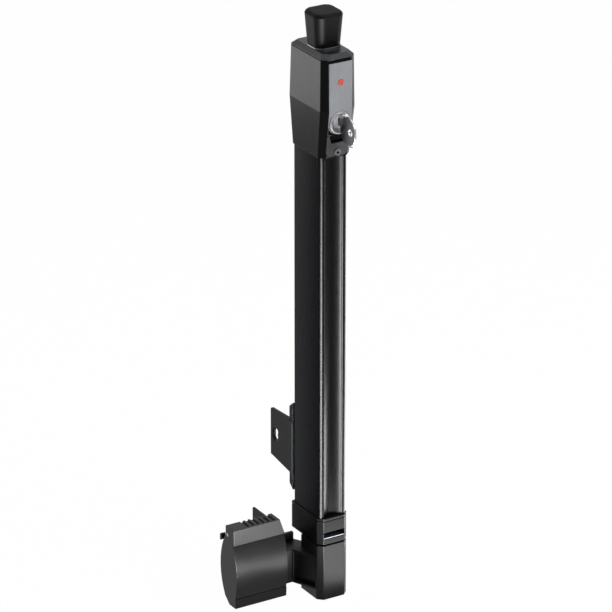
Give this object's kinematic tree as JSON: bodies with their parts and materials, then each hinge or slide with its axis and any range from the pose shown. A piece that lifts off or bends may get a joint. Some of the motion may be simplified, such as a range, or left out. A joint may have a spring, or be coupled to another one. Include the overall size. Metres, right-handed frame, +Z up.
{
  "type": "magnetic pool gate latch",
  "caption": "Tall magnetic gate latch: lift knob, key lock and status window on a slim tube, with a striker that holds a magnet-drawn pin under a hinged cover.",
  "frame": {"origin": "centre of the post bracket's back face, where it meets the front of the gate post", "axes": "+Z up along the tube, +Y back into the post, +X along the fence away from the gate"},
  "size_m": [0.1076, 0.1213, 0.5626],
  "materials": {
    "gloss_black": "gloss",
    "satin_black": "satin",
    "tube_black": "gloss",
    "bracket_black": "satin",
    "silver_plate": "satin",
    "chrome": "polished",
    "steel": "brushed",
    "dark_steel": "satin",
    "red": "gloss",
    "white_plastic": "matte",
    "magnet": "polished"
  },
  "bodies": {
    "post_mount": {"post_bracket": "bracket_black"},
    "latch_body": {"body_tube": "tube_black", "lower_cuff": "satin_black", "cuff_screws": "steel", "pin_socket": "steel", "head_shell": "gloss_black", "head_cap": "gloss_black", "head_screw": "dark_steel", "faceplate": "silver_plate", "chin_plate": "silver_plate", "indicator_lens": "red", "head_chassis": "satin_black", "chassis_screws": "steel", "lock_body": "steel", "lock_bezel": "chrome", "lock_nut": "steel", "knob_collar": "dark_steel", "rod_guide_upper": "white_plastic", "rod_guide_lower": "white_plastic"},
    "lift_line": {"knob": "gloss_black", "knob_pin": "steel", "lift_rod": "steel", "spring_clip": "dark_steel", "return_spring": "steel", "magnet_carrier": "satin_black", "lift_magnet": "magnet", "carrier_nut": "steel"},
    "key_plug": {"lock_plug": "chrome", "lock_cam": "steel", "cam_screw": "dark_steel"},
    "key_body": {"key": "chrome", "key_ring": "chrome"},
    "lock_bolt": {"lock_slide": "steel", "indicator_flag": "red"},
    "gate_mount": {"gate_bracket": "bracket_black", "adjust_screws": "steel", "adjust_washers": "steel"},
    "striker": {"striker_housing": "satin_black", "cover_pins": "steel", "pin_spring": "steel", "pin_guide": "white_plastic", "pin_plug": "satin_black"},
    "pin_body": {"latch_pin": "steel"},
    "cover_body": {"striker_cover": "satin_black"}
  },
  "joints": [
    {"name": "height_adjust", "type": "slide", "parent": "post_mount", "child": "latch_body", "axis": [0, 0, 1], "range_m": [0, 0.01]},
    {"name": "knob_lift", "type": "slide", "parent": "latch_body", "child": "lift_line", "axis": [0, 0, 1], "range_m": [0, 0.02], "stiffness_N_per_m": 120, "springref_m": -0.02, "deforming": ["return_spring"]},
    {"name": "key_turn", "type": "hinge", "parent": "latch_body", "child": "key_plug", "pos_m": [0, -0.0289, 0.3302], "axis": [0, 1, 0], "range_deg": [0, 90]},
    {"name": "key_pull", "type": "slide", "parent": "key_plug", "child": "key_body", "axis": [0, -1, 0], "range_m": [0, 0.03]},
    {"name": "bolt_shift", "type": "slide", "parent": "latch_body", "child": "lock_bolt", "axis": [1, 0, 0], "range_m": [0, 0.007]},
    {"name": "gate_swing", "type": "slide", "parent": "post_mount", "child": "gate_mount", "axis": [0, -1, 0], "range_m": [0, 0.09]},
    {"name": "side_adjust", "type": "slide", "parent": "gate_mount", "child": "striker", "axis": [1, 0, 0], "range_m": [-0.003, 0.003]},
    {"name": "pin_rise", "type": "slide", "parent": "striker", "child": "pin_body", "axis": [0, 0, 1], "range_m": [0, 0.01], "stiffness_N_per_m": 60, "springref_m": -0.01, "deforming": ["pin_spring"]},
    {"name": "cover_open", "type": "hinge", "parent": "striker", "child": "cover_body", "pos_m": [0, -0.0134, -0.0676], "axis": [-1, 0, 0], "range_deg": [0, 100]}
  ],
  "couplings": [
    {"joint": "key_turn", "follows": "bolt_shift", "rad_per_m": 224.38}
  ]
}
